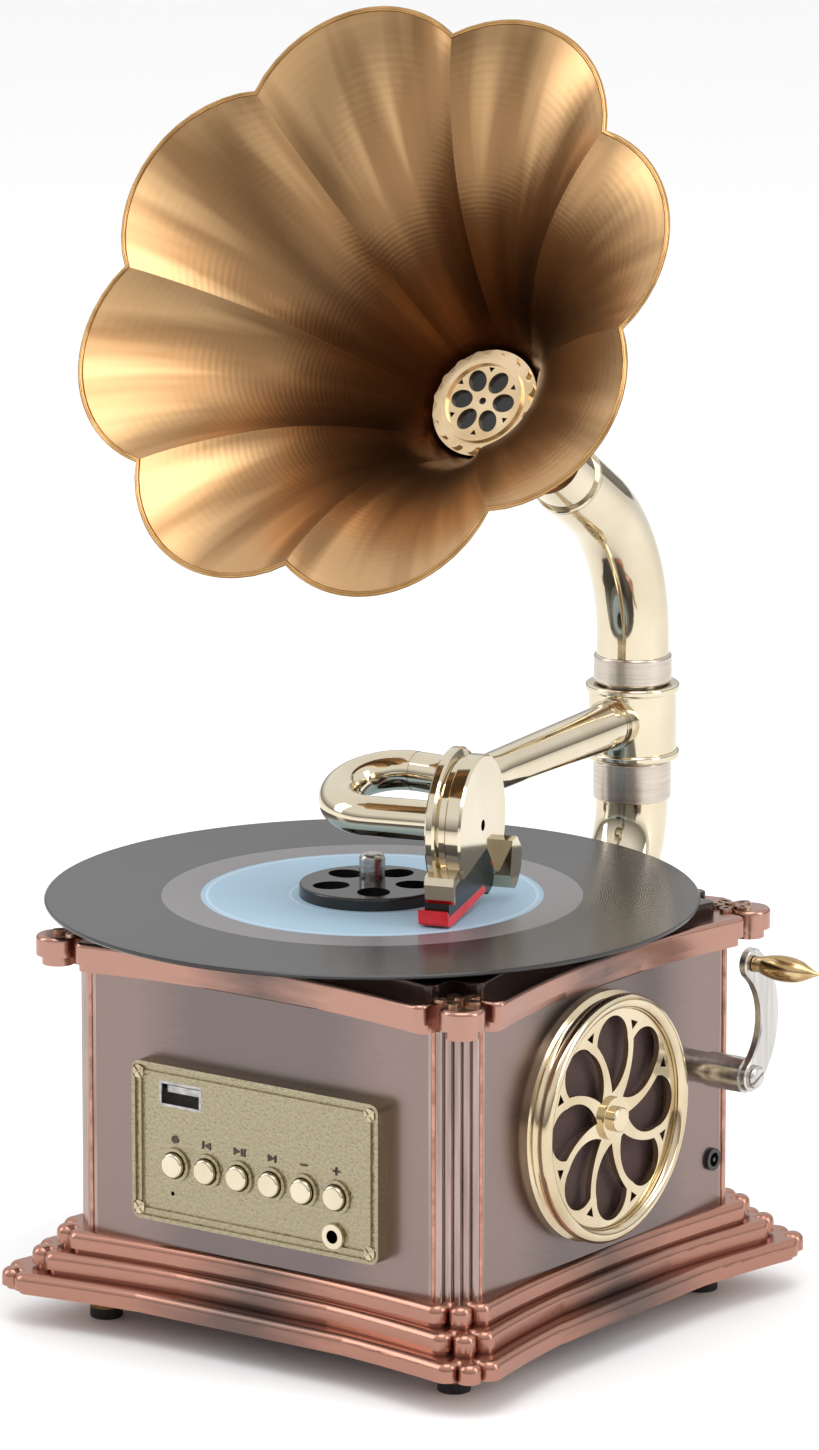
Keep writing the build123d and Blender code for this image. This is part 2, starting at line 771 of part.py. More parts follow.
# Speaker on the right wall: bezel with a rolled rim, cloth, petal grille and driver
speaker_plane = Plane(origin=(wall_half, speaker_y, speaker_z), x_dir=(0, 1, 0), z_dir=(1, 0, 0))
speaker_axis = Axis((0, speaker_y, speaker_z), (1, 0, 0))
bezel_plane = Plane(origin=(wall_half, speaker_y, speaker_z), x_dir=(0, 1, 0), z_dir=(0, 0, -1))
with BuildPart() as speaker_bezel:
    with BuildSketch(bezel_plane):
        with BuildLine():
            Polyline((rim_inner, 5.6), (rim_inner, 0), (bezel_radius, 0), (bezel_radius, 1.3),
                     (bezel_radius - 1, 1.9))
            Bezier((bezel_radius - 1, 1.9), (bezel_radius - 2.4, 2.4), (rim_centre, 5.6))
            Line((rim_centre, 5.6), (rim_inner, 5.6))
        make_face()
        with Locations((rim_centre, bezel_stand - rim_tube)):
            Circle(rim_tube)
    revolve(axis=speaker_axis)
speaker_bezel.part.label = "speaker_bezel"
export_step(speaker_bezel.part, "parts/speaker_bezel.step")

with BuildPart() as speaker_cloth:
    with BuildSketch(speaker_plane):
        Circle(rim_inner)
    extrude(amount=0.6)
speaker_cloth.part.label = "speaker_cloth"
export_step(speaker_cloth.part, "parts/speaker_cloth.step")


def petal_window():
    """One comma-shaped window: a point by the hub, a swept waist and a round outer end."""
    root = (petal_root, 0)
    swing = radians(petal_sweep)
    waist = petal_waist / 2
    middle = (petal_middle * cos(swing), -petal_middle * sin(swing))
    with BuildSketch() as window:
        with BuildLine():
            outer = ThreePointArc((petal_centre, petal_round), (petal_centre + petal_round, 0),
                                  (petal_centre, -petal_round))
            ThreePointArc(root, (middle[0], middle[1] + waist), outer @ 0)
            ThreePointArc(outer @ 1, (middle[0], middle[1] - waist), root)
        make_face()
    return window.sketch


# Petal grille: eight swept windows, small windows between them, and a stepped boss
with BuildPart() as speaker_grille:
    with BuildSketch(speaker_plane.offset(grille_level)):
        Circle(rim_inner)
        with PolarLocations(0, petal_count):
            add(petal_window(), mode=Mode.SUBTRACT)
        with PolarLocations(spandrel_place, petal_count, start_angle=180 / petal_count):
            Triangle(a=3.4, b=3.0, c=3.0, rotation=90, mode=Mode.SUBTRACT)
    extrude(amount=grille_thickness)
    fillet(speaker_grille.faces().sort_by(Axis.X)[-1].outer_wire().edges(), 0.4)
    for radius, low, high in boss_steps:
        with BuildSketch(speaker_plane.offset(low)):
            Circle(radius)
        extrude(amount=high - low)
    fillet(speaker_grille.edges().group_by(Axis.X)[-1], 0.6)
speaker_grille.part.label = "speaker_grille"
export_step(speaker_grille.part, "parts/speaker_grille.step")

with BuildPart() as speaker_driver:
    with BuildSketch(speaker_plane.offset(-wall_thickness)):
        Circle(speaker_opening + 1.2)
    extrude(amount=-1.2)
    with BuildSketch(speaker_plane.offset(-wall_thickness - 1.2)):
        Circle(speaker_opening)
    with BuildSketch(speaker_plane.offset(-wall_thickness - 12)):
        Circle(magnet_radius)
    loft()
    with BuildSketch(speaker_plane.offset(-wall_thickness - 12)):
        Circle(magnet_radius)
    extrude(amount=-8)
    with BuildSketch(speaker_plane.offset(-wall_thickness)):
        Circle(speaker_opening - 1.5)
    with BuildSketch(speaker_plane.offset(-wall_thickness - 9.5)):
        Circle(8)
    loft(mode=Mode.SUBTRACT)
speaker_driver.part.label = "speaker_driver"
export_step(speaker_driver.part, "parts/speaker_driver.step")

# Power inlet: a short barrel with a centre pin
with BuildPart() as power_inlet:
    for radius, low, high in ((inlet_radius, -10, 0), (inlet_radius + 0.4, 0, 1.0)):
        with BuildSketch(side_plane.offset(low)):
            with Locations((inlet_y, inlet_z)):
                Circle(radius)
        extrude(amount=high - low)
    with BuildSketch(side_plane.offset(-8)):
        with Locations((inlet_y, inlet_z)):
            Circle(inlet_radius - 0.8)
            Circle(0.6, mode=Mode.SUBTRACT)
    extrude(amount=9, mode=Mode.SUBTRACT)
power_inlet.part.label = "power_inlet"
export_step(power_inlet.part, "parts/power_inlet.step")

# Crank: a bearing in the wall, the shaft with its sleeve, a curved arm and a turned handle
crank_plane = Plane(origin=(0, crank_y, crank_z), x_dir=(0, 1, 0), z_dir=(1, 0, 0))
with BuildPart() as crank_bearing:
    for radius, low, high in ((bearing_radius, wall_half - 7, wall_half),
                              (bearing_collar, wall_half, sleeve_start - body_gap)):
        with BuildSketch(crank_plane.offset(low)):
            Circle(radius)
            Circle(crank_shaft_radius + running_gap, mode=Mode.SUBTRACT)
        extrude(amount=high - low)
crank_bearing.part.label = "crank_bearing"
export_step(crank_bearing.part, "parts/crank_bearing.step")

with BuildPart() as crank_shaft:
    for radius, low, high in ((crank_shaft_radius, wall_half - 10, sleeve_start),
                              (sleeve_radius, sleeve_start, crank_arm_x),
                              (bearing_radius, wall_half - 9, wall_half - 7 - body_gap)):
        with BuildSketch(crank_plane.offset(low)):
            Circle(radius)
        extrude(amount=high - low)
crank_shaft.part.label = "crank_shaft"
export_step(crank_shaft.part, "parts/crank_shaft.step")

with BuildPart() as crank_arm:
    with BuildSketch(crank_plane.offset(crank_arm_x)):
        with BuildLine() as arm_line:
            ThreePointArc((0, 0), (crank_bulge, crank_throw / 2), (0, crank_throw))
        SlotArc(arm_line.edge(), height=crank_arm_width)
    extrude(amount=crank_arm_thickness)
    chamfer(crank_arm.edges().group_by(Axis.X)[-1], 0.4)
    with BuildSketch(crank_plane.offset(crank_arm_x + crank_arm_thickness)):
        with Locations((0, crank_throw)):
            Circle(handle_pin)
    extrude(amount=handle_length - 5)
crank_arm.part.label = "crank_arm"
export_step(crank_arm.part, "parts/crank_arm.step")

screw_seat = crank_arm_x + crank_arm_thickness
with BuildPart() as crank_screw:
    with BuildSketch(crank_plane.offset(screw_seat)):
        Circle(3.1)
    extrude(amount=1.7)
    fillet(crank_screw.edges().group_by(Axis.X)[-1], 0.9)
    with BuildSketch(crank_plane.offset(screw_seat + 1)):
        Rectangle(6.4, 0.8, rotation=25)
    extrude(amount=1, mode=Mode.SUBTRACT)
crank_screw.part.label = "crank_screw"
export_step(crank_screw.part, "parts/crank_screw.step")

handle_axis = Axis((0, crank_y, crank_z + crank_throw), (1, 0, 0))
handle_plane = Plane(origin=(screw_seat + body_gap, crank_y, crank_z + crank_throw),
                     x_dir=(1, 0, 0), z_dir=(0, -1, 0))
with BuildPart() as crank_handle:
    with BuildSketch(handle_plane):
        with BuildLine():
            curve = Spline((0, handle_neck), (1.6, handle_neck), (3.0, handle_neck + 0.4),
                           (9.0, handle_radius), (14.5, 2.7), (17.6, 1.3),
                           (handle_length, 0.2))
            Polyline(curve @ 1, (handle_length, 0), (0, 0), curve @ 0)
        make_face()
    revolve(axis=handle_axis)
    with BuildSketch(crank_plane.offset(screw_seat)):
        with Locations((0, crank_throw)):
            Circle(handle_pin + running_gap)
    extrude(amount=handle_length - 5 + body_gap, mode=Mode.SUBTRACT)
crank_handle.part.label = "crank_handle"
export_step(crank_handle.part, "parts/crank_handle.step")

# Lower elbow: a bent tube from the back wall up to the pivot, with a wall flange
entry_y = wall_half - wall_thickness - 4
bend_waist = (0, pipe_y - lower_bend * (1 - 0.5 ** 0.5),
              pipe_entry_z + lower_bend * (1 - 0.5 ** 0.5))
with BuildPart() as lower_elbow:
    with BuildLine() as lower_path:
        Line((0, entry_y, pipe_entry_z), (0, pipe_y - lower_bend, pipe_entry_z))
        ThreePointArc((0, pipe_y - lower_bend, pipe_entry_z), bend_waist,
                      (0, pipe_y, pipe_entry_z + lower_bend))
        Line((0, pipe_y, pipe_entry_z + lower_bend), (0, pipe_y, lower_band_bottom))
    with BuildSketch(Plane(origin=(0, entry_y, pipe_entry_z), z_dir=(0, 1, 0))):
        Circle(pipe_radius)
        Circle(post_root, mode=Mode.SUBTRACT)
    sweep(path=lower_path.wire())
    for radius, height in ((pipe_flange, 1.4), (pipe_flange - 1.8, 2.6)):
        with BuildSketch(back_plane):
            with Locations((0, pipe_entry_z)):
                Circle(radius)
                Circle(post_root, mode=Mode.SUBTRACT)
        extrude(amount=height)
lower_elbow.part.label = "lower_elbow"
export_step(lower_elbow.part, "parts/lower_elbow.step")


def pipe_ring(radius, bore, low, high):
    """A plain ring on the pipe axis."""
    with BuildPart() as ring:
        with BuildSketch(Plane.XY.offset(low)):
            with Locations((0, pipe_y)):
                Circle(radius)
                if bore:
                    Circle(bore, mode=Mode.SUBTRACT)
        extrude(amount=high - low)
    return ring.part


# Pivot post: fixed in the elbow; the tonearm and the horn turn on it
with BuildPart() as pivot_post:
    add(pipe_ring(post_root, 0, pipe_entry_z + lower_bend, lower_band_bottom))
    add(pipe_ring(core_radius, 0, lower_band_bottom, core_top))
    chamfer(pivot_post.edges().group_by(Axis.Z)[-1], 0.8)
pivot_post.part.label = "pivot_post"
export_step(pivot_post.part, "parts/pivot_post.step")

with BuildPart() as lower_band:
    add(pipe_ring(band_radius, core_radius, lower_band_bottom, collar_bottom))
    fillet(lower_band.edges().filter_by(GeomType.CIRCLE).sort_by(SortBy.RADIUS)[-2:], 0.7)
lower_band.part.label = "lower_band"
export_step(lower_band.part, "parts/lower_band.step")

# Tonearm collar: a ring with a raised rim at each end
collar_low = collar_bottom + body_gap
collar_high = collar_top - body_gap
with BuildPart() as arm_collar:
    add(pipe_ring(collar_waist, core_radius + running_gap, collar_low, collar_high))
    for level in (collar_low, collar_high - collar_rim_height):
        add(pipe_ring(collar_rim, core_radius + running_gap, level, level + collar_rim_height))
    fillet(arm_collar.edges().filter_by(GeomType.CIRCLE)
           .filter_by(lambda edge: abs(edge.radius - collar_rim) < 0.01), 0.7)
arm_collar.part.label = "arm_collar"
export_step(arm_collar.part, "parts/arm_collar.step")

# Tonearm tube: tapers from the collar, turns a corner and ends in the seam with a pin
root = Vector(0, pipe_y, arm_z)
corner = Vector(*arm_corner)
seam = Vector(*arm_seam)
along = (corner - root).normalized()
across = (seam - corner).normalized()
setback = arm_corner_bend * tan(along.get_angle(across) * pi / 360)
bend_start = corner - along * setback
bend_end = corner + across * setback
bend_middle = (corner + (across - along).normalized()
               * (arm_corner_bend / cos(along.get_angle(across) * pi / 360) - arm_corner_bend))
with BuildPart() as arm_tube:
    with BuildSketch(Plane(origin=root + along * 9, z_dir=along)):
        Circle(arm_root_radius)
    with BuildSketch(Plane(origin=bend_start, z_dir=along)):
        Circle(arm_tip_radius)
    loft()
    with BuildLine() as arm_path:
        ThreePointArc(bend_start, bend_middle, bend_end)
        Line(bend_end, seam)
    with BuildSketch(Plane(origin=bend_start, z_dir=along)):
        Circle(arm_tip_radius)
    sweep(path=arm_path.wire())
    with BuildSketch(Plane(origin=seam, z_dir=across)):
        Circle(pin_radius)
    extrude(amount=pin_length)
    for radius, low, high in ((arm_flange, 9, 14.2), (arm_flange - 0.5, 14.2, 15.6)):
        with BuildSketch(Plane(origin=root + along * low, z_dir=along)):
            Circle(radius)
        extrude(amount=high - low)
    pipe_hole = Cylinder(collar_waist, 60, mode=Mode.PRIVATE)
    add(Pos(0, pipe_y, arm_z) * pipe_hole, mode=Mode.SUBTRACT)
arm_tube.part.label = "arm_tube"
export_step(arm_tube.part, "parts/arm_tube.step")

# Gooseneck: a U-bend that drops as it turns back, then a straight run to the soundbox
neck_start = seam + across * body_gap
heading = degrees_of(across)
turn = 360 + head_yaw - heading
bend_centre = neck_start + Vector(gooseneck_bend * cos(radians(heading + 90)),
                                  gooseneck_bend * sin(radians(heading + 90)), 0)


def neck_point(share):
    """A point of the U-bend, this share of the way round."""
    angle = radians(heading + turn * share - 90)
    return bend_centre + Vector(gooseneck_bend * cos(angle), gooseneck_bend * sin(angle),
                                -gooseneck_drop * share)


neck_end = neck_point(1)
head_axis = Vector(cos(radians(head_yaw)), sin(radians(head_yaw)), 0)
face_centre = neck_end + head_axis * return_length
with BuildPart() as gooseneck:
    with BuildLine() as neck_path:
        neck_arc = ThreePointArc(neck_start, neck_point(0.5), neck_end)
    with BuildSketch(Plane(origin=neck_start, z_dir=neck_arc % 0)):
        Circle(gooseneck_radius)
    sweep(path=neck_path.wire())
    with BuildSketch(Plane(origin=neck_end, z_dir=head_axis)):
        Circle(gooseneck_radius)
    extrude(amount=return_length - head_depth)
    with Locations(neck_end):
        Sphere(gooseneck_radius)
    with BuildSketch(Plane(origin=neck_start - across * body_gap, z_dir=across)):
        Circle(pin_radius + running_gap)
    extrude(amount=pin_length + 2 * body_gap, mode=Mode.SUBTRACT)
gooseneck.part.label = "gooseneck"
export_step(gooseneck.part, "parts/gooseneck.step")

# Soundbox: stepped disc with two wings below, parted by a notch for the cartridge
head_plane = Plane(origin=face_centre, x_dir=(-head_axis.Y, head_axis.X, 0), z_dir=head_axis)
head_section = Plane(origin=face_centre, x_dir=head_axis, z_dir=(head_axis.Y, -head_axis.X, 0))
with BuildPart() as soundbox:
    with BuildSketch(head_section):
        with BuildLine():
            Polyline((0, 0), *head_profile, (-head_depth, 0), close=True)
        make_face()
    revolve(axis=Axis(face_centre, head_axis))
    with BuildSketch(head_plane.offset(wing_back)):
        Polygon(*wing_outline, align=None)
        Polygon(*[(-x, y) for x, y in wing_outline], align=None)
    extrude(amount=wing_thickness)
    with BuildSketch(head_plane.offset(wing_back)):
        Polygon(*proud_outline, align=None)
    extrude(amount=wing_proud - wing_back)
    with BuildSketch(head_plane.offset(-head_depth)):
        Polygon(*pocket_outline, align=None)
    extrude(amount=head_depth + wing_proud, mode=Mode.SUBTRACT)
    with BuildSketch(head_plane):
        Circle(1.5)
    extrude(amount=-4, mode=Mode.SUBTRACT)
soundbox.part.label = "soundbox"
export_step(soundbox.part, "parts/soundbox.step")

with BuildPart() as cartridge:
    with BuildSketch(head_plane.offset(-head_depth)):
        Polygon(*cartridge_outline, align=None)
    extrude(amount=head_depth - cartridge_setback)
cartridge.part.label = "cartridge"
export_step(cartridge.part, "parts/cartridge.step")

# Stylus guard: an angled strip under the cartridge, with the stylus in its front end
with BuildPart() as stylus_guard:
    with BuildSketch(head_plane.offset(-cartridge_setback - guard_width)):
        Polygon((-20.6, -19.0), (-19.2, -20.2), (9.0, -17.6), (11.2, -18.4), (10.2, -20.6),
                (-16.0, -23.5), (-20.0, -23.5), align=None)
        fillet(vertices().sort_by(Axis.Y)[:2], 1.4)
    extrude(amount=guard_width)
    with BuildSketch(head_plane.offset(-cartridge_setback - guard_width + 2.6)):
        rectangle_between(stylus_place - 1.4, stylus_place + 1.4, -24, -19)
    extrude(amount=guard_width - 5.2, mode=Mode.SUBTRACT)
    add(cartridge.part, mode=Mode.SUBTRACT)
    add(soundbox.part, mode=Mode.SUBTRACT)
stylus_guard.part.label = "stylus_guard"
export_step(stylus_guard.part, "parts/stylus_guard.step")

stylus_top = face_centre + Vector(-head_axis.Y, head_axis.X, 0) * stylus_place + Vector(
    0, 0, -20.7) - head_axis * (cartridge_setback + guard_width / 2)
with BuildPart() as stylus:
    with BuildSketch(Plane.XY.move(Location(stylus_top))):
        Circle(0.7)
    extrude(amount=-2.9, taper=11)
stylus.part.label = "stylus"
export_step(stylus.part, "parts/stylus.step")

# Upper band and elbow: a socket on the pivot post and a tube that leans to the horn
with BuildPart() as upper_band:
    add(pipe_ring(band_radius, core_radius + running_gap, collar_top, upper_band_top))
    add(pipe_ring(elbow_bore + 0.5, 0, core_top + body_gap, upper_band_top))
    fillet(upper_band.edges().filter_by(GeomType.CIRCLE)
           .filter_by(lambda edge: abs(edge.radius - band_radius) < 0.01), 0.7)
upper_band.part.label = "upper_band"
export_step(upper_band.part, "parts/upper_band.step")

lean = radians(elbow_turn)
outward = Vector(sin(radians(horn_yaw)), -cos(radians(horn_yaw)), 0)
upward = Vector(0, 0, 1)
elbow_foot = Vector(0, pipe_y, elbow_start)
elbow_middle = (elbow_foot + outward * (elbow_bend * (1 - cos(lean / 2)))
                + upward * (elbow_bend * sin(lean / 2)))
elbow_end = (elbow_foot + outward * (elbow_bend * (1 - cos(lean)))
             + upward * (elbow_bend * sin(lean)))
horn_axis = outward * sin(lean) + upward * cos(lean)
mouth = elbow_end + horn_axis * elbow_straight
with BuildPart() as upper_elbow:
    with BuildLine() as elbow_path:
        Line((0, pipe_y, upper_band_top), elbow_foot)
        ThreePointArc(elbow_foot, elbow_middle, elbow_end)
        Line(elbow_end, mouth)
    with BuildSketch(Plane.XY.offset(upper_band_top)):
        with Locations((0, pipe_y)):
            Circle(pipe_radius)
            Circle(elbow_bore, mode=Mode.SUBTRACT)
    sweep(path=elbow_path.wire())
upper_elbow.part.label = "upper_elbow"
export_step(upper_elbow.part, "parts/upper_elbow.step")

horn_plane = Plane(origin=mouth, x_dir=Vector(0, 0, 1).cross(horn_axis), z_dir=horn_axis)
with BuildPart() as horn_ferrule:
    for radius, low, high in ((elbow_bore, -14, 0), (elbow_bore, 0, ferrule_end),
                              (pipe_radius, 0, 1.2)):
        with BuildSketch(horn_plane.offset(low)):
            Circle(radius)
            Circle(ferrule_bore, mode=Mode.SUBTRACT)
        extrude(amount=high - low)
    chamfer(horn_ferrule.edges().filter_by(GeomType.CIRCLE)
            .filter_by(lambda edge: abs(edge.radius - pipe_radius) < 0.01), 0.3)
horn_ferrule.part.label = "horn_ferrule"
export_step(horn_ferrule.part, "parts/horn_ferrule.step")


def lobed_ring(cusp, lobe):
    """Closed outline of equal lobes that meet in cusps."""
    with BuildSketch() as ring:
        with BuildLine():
            for index in range(lobe_count):
                first = radians(cusp_angle - index * 360 / lobe_count)
                last = first - 2 * pi / lobe_count
                middle = (first + last) / 2
                ThreePointArc((cusp * cos(first), cusp * sin(first)),
                              (lobe * cos(middle), lobe * sin(middle)),
                              (cusp * cos(last), cusp * sin(last)))
        make_face()
    return ring.sketch


# Horn bell: eight lobes that grow out of a round neck, with a thin wall
with BuildPart() as horn_bell:
    for distance, cusp, lobe in horn_sections:
        with BuildSketch(horn_plane.offset(distance)):
            add(lobed_ring(cusp, lobe))
    loft()
    for distance, cusp, lobe in horn_sections:
        with BuildSketch(horn_plane.offset(distance)):
            add(lobed_ring(cusp - horn_wall, lobe - horn_wall))
    loft(mode=Mode.SUBTRACT)
horn_bell.part.label = "horn_bell"
export_step(horn_bell.part, "parts/horn_bell.step")

# Throat ring: a scalloped rim that steps down to the grille
with BuildPart() as throat_ring:
    with BuildSketch(horn_plane.offset(throat_distance - 3)):
        Circle(throat_radius)
        Circle(throat_bore, mode=Mode.SUBTRACT)
    extrude(amount=2)
    with BuildSketch(horn_plane.offset(throat_distance - 1)):
        Circle(throat_scallop)
        with PolarLocations(throat_scallop - 0.6, 16):
            Circle(2.0)
        Circle(throat_bore, mode=Mode.SUBTRACT)
    extrude(amount=1.2)
    with BuildSketch(horn_plane.offset(throat_distance + 0.2)):
        Circle(throat_scallop - 1.6)
        Circle(throat_bore, mode=Mode.SUBTRACT)
    extrude(amount=1)
throat_ring.part.label = "throat_ring"
export_step(throat_ring.part, "parts/throat_ring.step")

# Throat grille: six petal windows round a small centre ring
with BuildPart() as throat_grille:
    with BuildSketch(horn_plane.offset(throat_distance - 1)):
        Circle(throat_bore)
        with PolarLocations(6.3, 6):
            Ellipse(3.2, 2.6, mode=Mode.SUBTRACT)
        with PolarLocations(9.2, 6, start_angle=30):
            Triangle(a=1.8, b=1.7, c=1.7, rotation=90, mode=Mode.SUBTRACT)
        Circle(1.0, mode=Mode.SUBTRACT)
    extrude(amount=1.2)
throat_grille.part.label = "throat_grille"
export_step(throat_grille.part, "parts/throat_grille.step")

with BuildPart() as horn_driver:
    with BuildSketch(horn_plane.offset(throat_distance - 9)):
        Circle(throat_bore - 1)
    extrude(amount=8)
horn_driver.part.label = "horn_driver"
export_step(horn_driver.part, "parts/horn_driver.step")
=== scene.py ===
from math import atan2, cos, pi, radians, sin

import bpy
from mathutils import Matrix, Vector


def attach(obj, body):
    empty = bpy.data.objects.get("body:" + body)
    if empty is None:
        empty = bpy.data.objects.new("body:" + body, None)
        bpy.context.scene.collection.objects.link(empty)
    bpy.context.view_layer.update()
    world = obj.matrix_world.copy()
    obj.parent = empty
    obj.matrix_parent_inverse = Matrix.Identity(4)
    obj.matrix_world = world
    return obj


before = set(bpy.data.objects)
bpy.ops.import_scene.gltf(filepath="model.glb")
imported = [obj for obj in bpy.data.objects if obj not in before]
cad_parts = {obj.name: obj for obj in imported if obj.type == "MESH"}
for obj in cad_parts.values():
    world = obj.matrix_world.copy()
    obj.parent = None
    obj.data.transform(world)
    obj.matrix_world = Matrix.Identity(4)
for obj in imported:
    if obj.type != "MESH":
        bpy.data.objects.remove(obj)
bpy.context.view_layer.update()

# Feet: four turned brass cups with a flange, screwed up into the plinth.
# Each holds a moulded black rubber pad that stands on the table.


def rgb(red, green, blue):
    """Linear colour from the 0 to 255 values of a paint card."""
    def channel(value):
        value /= 255
        return value / 12.92 if value <= 0.04045 else ((value + 0.055) / 1.055) ** 2.4
    return (channel(red), channel(green), channel(blue), 1)


def surface(name, colour, metallic=0.0, roughness=0.5):
    """A material with a plain shader; returns the material, its nodes and the shader."""
    material = bpy.data.materials.new(name)
    material.use_nodes = True
    shader = material.node_tree.nodes["Principled BSDF"]
    shader.inputs["Base Color"].default_value = colour
    shader.inputs["Metallic"].default_value = metallic
    shader.inputs["Roughness"].default_value = roughness
    material.diffuse_color = colour
    return material, material.node_tree, shader


def link_node(tree, kind, *values, operation=None, output=0):
    """Adds a node; each value in turn is a constant or another node's output. None is left alone."""
    made = tree.nodes.new("ShaderNode" + kind)
    if operation:
        made.operation = operation
    for socket, value in zip(made.inputs, values):
        if isinstance(value, bpy.types.NodeSocket):
            tree.links.new(value, socket)
        elif value is not None:
            socket.default_value = value
    return made.outputs[output]


def grained(name, light, dark, grain, metallic=1.0, roughness=0.3, depth=0.02, spread=(0.35, 0.65)):
    """A finish whose colour and height follow one noise, stretched by grain along X, Y and Z."""
    material, tree, shader = surface(name, light, metallic, roughness)
    place = tree.nodes.new("ShaderNodeTexCoord")
    stretched = link_node(tree, "Mapping", place.outputs["Object"], None, None, grain)
    noise = tree.nodes.new("ShaderNodeTexNoise")
    noise.inputs["Scale"].default_value = 1
    noise.inputs["Detail"].default_value = 4
    ramp = tree.nodes.new("ShaderNodeValToRGB")
    for stop, position, colour in zip(ramp.color_ramp.elements, spread, (dark, light)):
        stop.position, stop.color = position, colour
    bump = tree.nodes.new("ShaderNodeBump")
    bump.inputs["Strength"].default_value = depth * 10
    bump.inputs["Distance"].default_value = 0.0002
    tree.links.new(stretched, noise.inputs["Vector"])
    tree.links.new(noise.outputs["Fac"], ramp.inputs["Fac"])
    tree.links.new(ramp.outputs["Color"], shader.inputs["Base Color"])
    tree.links.new(noise.outputs["Fac"], bump.inputs["Height"])
    tree.links.new(bump.outputs["Normal"], shader.inputs["Normal"])
    return material


def dress(material, *nodes):
    """Gives a finish to pieces of the frame."""
    for node in nodes:
        for material_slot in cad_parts[node].material_slots:
            material_slot.material = material


cup_brass = grained("cup brass", rgb(176, 140, 92), rgb(120, 88, 56), (300, 300, 900), roughness=0.32)
pad_rubber = grained("pad rubber", rgb(34, 33, 33), rgb(24, 24, 24), (900, 900, 900), 0.0, 0.8)
dress(cup_brass, "foot_cups")
dress(pad_rubber, "foot_pads")

# Plinth: three moulded tiers with lobed corners under a satin copper coat.
# A plain dark plate closes it from below.


def corner_lit(name, bright, dull, reach, grain, roughness=0.3):
    """A plated finish with a painted highlight that makes it bright at the four corners and painted shade
    that makes it duller along the middle of each side.
    """
    material = grained(name, bright, dull, grain, roughness=roughness, depth=0.006)
    tree = material.node_tree
    place, noise = tree.nodes["Texture Coordinate"], tree.nodes["Noise Texture"]
    split = tree.nodes.new("ShaderNodeSeparateXYZ")
    tree.links.new(place.outputs["Object"], split.inputs[0])
    sizes = [link_node(tree, "Math", split.outputs[axis], operation="ABSOLUTE") for axis in "XY"]
    apart = link_node(tree, "Math", *sizes, operation="SUBTRACT")
    distance = link_node(tree, "Math", apart, operation="ABSOLUTE")
    share = tree.nodes.new("ShaderNodeMapRange")
    share.interpolation_type = "SMOOTHSTEP"
    for socket, value in (("From Max", reach), ("To Min", 0.75), ("To Max", 0.05)):
        share.inputs[socket].default_value = value
    tree.links.new(distance, share.inputs["Value"])
    mixed = link_node(tree, "Math", noise.outputs["Fac"], 0.3, share.outputs["Result"],
                      operation="MULTIPLY_ADD")
    tree.links.new(mixed, tree.nodes["Color Ramp"].inputs["Fac"])
    return material


# The plinth's copper carries a painted highlight at the corners and painted shade along the middle of each
# side.
copper_coat = corner_lit("copper coat", rgb(172, 126, 110), rgb(112, 94, 88), 0.1, (60, 60, 500), 0.27)
dark_moulding = grained("dark moulding", rgb(44, 44, 46), rgb(34, 34, 36), (400, 400, 400), 0.0, 0.6)
dress(copper_coat, "plinth")
dress(dark_moulding, "bottom_plate")

# Cabinet: pressed metal walls, brushed lengthways and coated antique grey-brown.
# Reeded corner strips are set into the cut corners, with a thin bright copper rod along each edge as a
# painted edge highlight.
wall_half, wall_low, wall_high = 0.0648, 0.0262, 0.0982
# The wall coat carries a painted highlight near the corners and painted shade along the middle of each face.
wall_coat = corner_lit("wall coat", rgb(140, 122, 117), rgb(118, 107, 105), 0.06, (60, 60, 2500), 0.3)
reed_coat = grained("reed coat", rgb(176, 154, 147), rgb(146, 128, 122), (500, 500, 30), roughness=0.27,
                    depth=0.004)
# Bright copper for the rods that paint the edge highlights.
highlight_copper = grained("highlight copper", rgb(196, 146, 126), rgb(160, 114, 96), (300, 300, 300), roughness=0.26)
dress(wall_coat, "cabinet_shell")
dress(reed_coat, "corner_columns")


def rod(name, points, radius, material, body, closed=False):
    """A round rod along straight runs between points, riding on a body."""
    curve = bpy.data.curves.new(name, "CURVE")
    curve.dimensions = "3D"
    curve.bevel_depth = radius
    curve.bevel_resolution = 3
    curve.use_fill_caps = True
    spline = curve.splines.new("POLY")
    spline.points.add(len(points) - 1)
    for knot, point in zip(spline.points, points):
        knot.co = (*point, 1)
    spline.use_cyclic_u = closed
    curve.materials.append(material)
    piece = bpy.data.objects.new(name, curve)
    bpy.context.collection.objects.link(piece)
    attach(piece, body)
    return piece


# Thin copper rods along the corner edges: painted edge highlights.
corner_cut, edge_highlight = 0.0087, 0.0006
for side_x in (-1, 1):
    for side_y in (-1, 1):
        for edge, (x, y) in enumerate(((wall_half, wall_half - corner_cut),
                                       (wall_half - corner_cut, wall_half))):
            rod(f"edge_bead_{'lr'[side_x > 0]}{'fb'[side_y > 0]}{edge}",
                [(side_x * x, side_y * y, wall_low), (side_x * x, side_y * y, wall_high)],
                edge_highlight, highlight_copper, "cabinet")

# Crown: a moulded copper-coated frame with a knob on each corner, clipped over the walls.
# A cast five-petal rosette is glued on each corner.
# The crown's coat carries a painted highlight at the corners and painted shade along the middle of each
# side.
crown_coat = corner_lit("crown coat", rgb(174, 134, 120), rgb(104, 90, 86), 0.1, (60, 60, 400), 0.25)
# The rosette's dark noise tone is painted shade standing for the shaded recesses between the petals.
rosette_shaded_metal = grained("rosette metal with painted shade", rgb(200, 166, 140), rgb(110, 84, 70), (600, 600, 600),
                        roughness=0.34)
dress(crown_coat, "crown_moulding")
dress(rosette_shaded_metal, "corner_rosettes")

# Deck: a moulded plate in polished dark bronze lacquer with a shallow well for the platter.
deck_lacquer = grained("deck lacquer", rgb(70, 54, 48), rgb(50, 38, 34), (60, 60, 60), 0.7, 0.14, 0.0)
dress(deck_lacquer, "top_deck")

